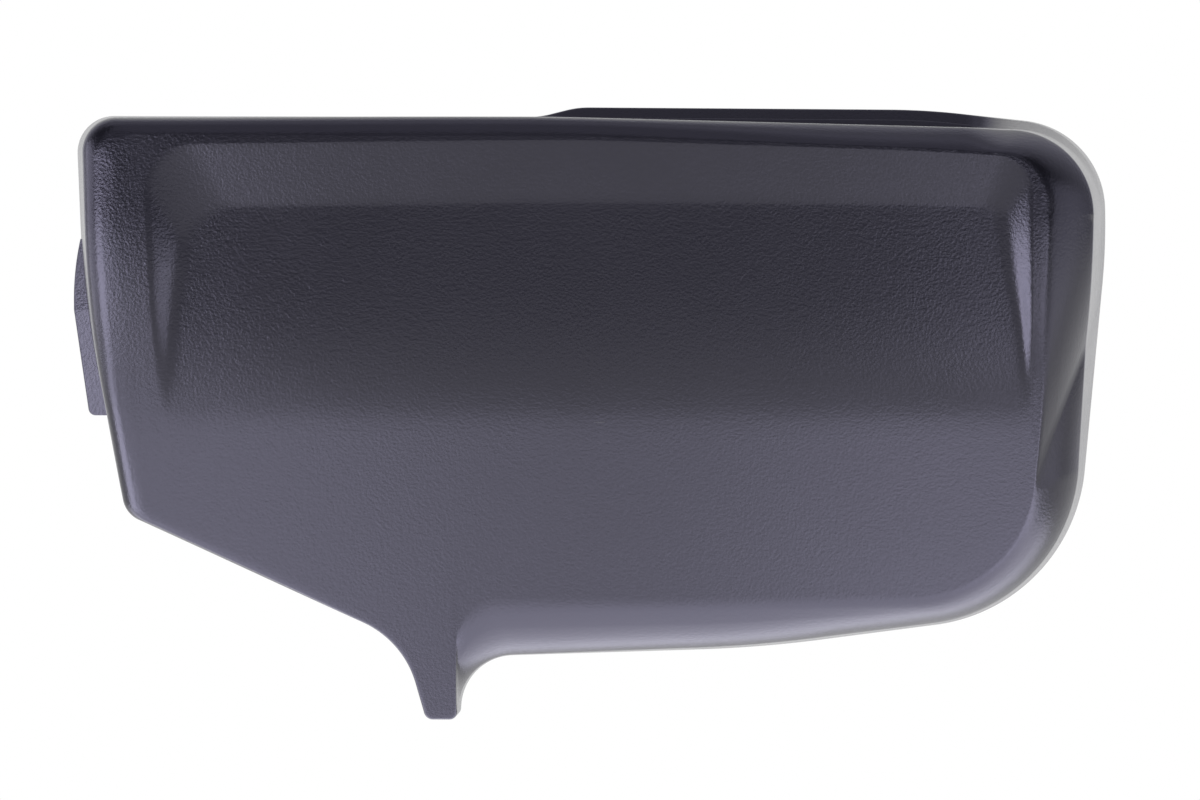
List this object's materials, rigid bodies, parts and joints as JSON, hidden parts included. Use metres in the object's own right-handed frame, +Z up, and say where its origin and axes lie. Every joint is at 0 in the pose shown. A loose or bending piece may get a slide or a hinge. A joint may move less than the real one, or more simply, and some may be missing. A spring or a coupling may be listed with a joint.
{
  "type": "wing mirror cover",
  "caption": "Black moulded wing mirror cover with a shallow scoop, a small leg below, and clips, ribs and a screw boss inside.",
  "frame": {"origin": "middle of the mouth of the centre screw boss, on the hidden side", "axes": "+X to the right of the picture along the cover's length, +Y out of the boss towards the rim, +Z up"},
  "size_m": [0.27, 0.058, 0.1596],
  "materials": {
    "black_plastic": "fine grain"
  },
  "bodies": {
    "root": {"mirror_cover": "black_plastic"}
  },
  "joints": []
}
